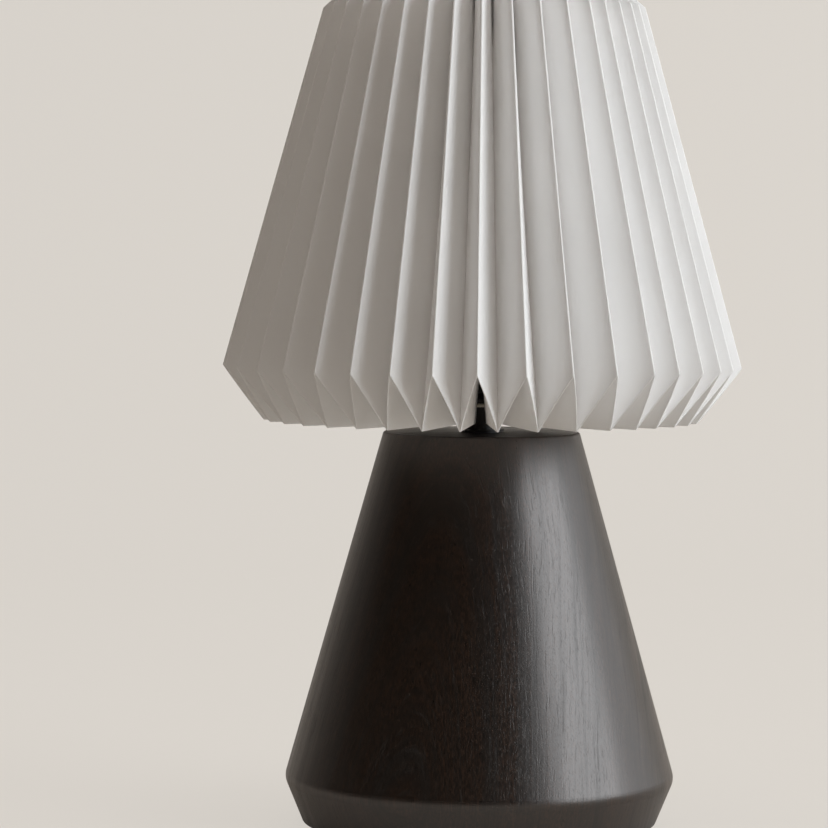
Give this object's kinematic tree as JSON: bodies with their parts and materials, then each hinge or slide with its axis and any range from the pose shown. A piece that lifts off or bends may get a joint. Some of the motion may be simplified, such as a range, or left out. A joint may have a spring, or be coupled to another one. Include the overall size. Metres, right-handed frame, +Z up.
{
  "type": "table lamp",
  "caption": "Table lamp with a turned dark wooden cone base and a tapered shade folded from pleated white paper, on a wire carrier over a screw lamp holder.",
  "frame": {"origin": "centre of the felt foot's underside, on the surface the lamp stands on", "axes": "+Z up along the lamp's axis; -Y is the front, towards the viewer; the cable inlet is at the back, along +Y; +X to the viewer's right"},
  "size_m": [0.3, 0.3, 0.5135],
  "materials": {
    "felt": "matt pressed felt",
    "stained_wood": "dark stain under satin lacquer",
    "zinc_plated_steel": "zinc plated",
    "black_rubber": "matt",
    "black_paint": "satin black",
    "white_paint": "white powder coat",
    "black_plastic": "moulded black",
    "white_plastic": "moulded white",
    "white_ceramic": "unglazed steatite",
    "brass_metal": "bare brass",
    "nickel_metal": "nickel-bright thin sheet",
    "bare_aluminium": "plain sheet",
    "solder_tin": "solder",
    "black_glass": "fused black glass",
    "opal_glass": "opal, satin",
    "shade_paper": "coated white pleated paper, matt",
    "cotton_cord": "twisted cotton"
  },
  "bodies": {
    "base": {"felt_pad": "felt", "wooden_base": "stained_wood", "base_plate": "zinc_plated_steel", "base_plate_screws": "zinc_plated_steel", "cable_bush": "black_rubber", "threaded_tube": "zinc_plated_steel", "tube_washer": "zinc_plated_steel", "tube_nut": "zinc_plated_steel", "neck_washer": "black_paint", "neck_spacer": "black_paint", "holder_cap": "black_plastic", "holder_grub_screw": "zinc_plated_steel", "holder_insert": "white_ceramic", "terminal_screws": "brass_metal", "screw_shell": "brass_metal", "centre_contact": "brass_metal", "holder_sleeve": "black_plastic"},
    "ring": {"shade_ring": "black_plastic"},
    "carrier": {"carrier_hub": "white_paint", "carrier_arm_1": "white_paint", "carrier_arm_2": "white_paint", "carrier_arm_3": "white_paint", "carrier_top_ring": "white_paint"},
    "shade": {"pleated_shade": "shade_paper", "upper_draw_cord": "cotton_cord", "lower_draw_cord": "cotton_cord"},
    "bulb": {"bulb_contact": "solder_tin", "bulb_insulator": "black_glass", "bulb_cap": "nickel_metal", "bulb_housing": "white_plastic", "bulb_led_board": "bare_aluminium", "bulb_globe": "opal_glass"}
  },
  "joints": [
    {"name": "ring_turn", "type": "hinge", "parent": "base", "child": "ring", "pos_m": [0, 0, 0.272], "axis": [0, 0, 1], "range_deg": [0, 900]},
    {"name": "carrier_turn", "type": "hinge", "parent": "base", "child": "carrier", "pos_m": [0, 0, 0.267], "axis": [0, 0, 1], "continuous": true},
    {"name": "shade_lift", "type": "slide", "parent": "carrier", "child": "shade", "axis": [0, 0, 1], "range_m": [0, 0.25]},
    {"name": "bulb_turn", "type": "hinge", "parent": "base", "child": "bulb", "pos_m": [0, 0, 0.285], "axis": [0, 0, 1], "range_deg": [0, 1260]}
  ]
}
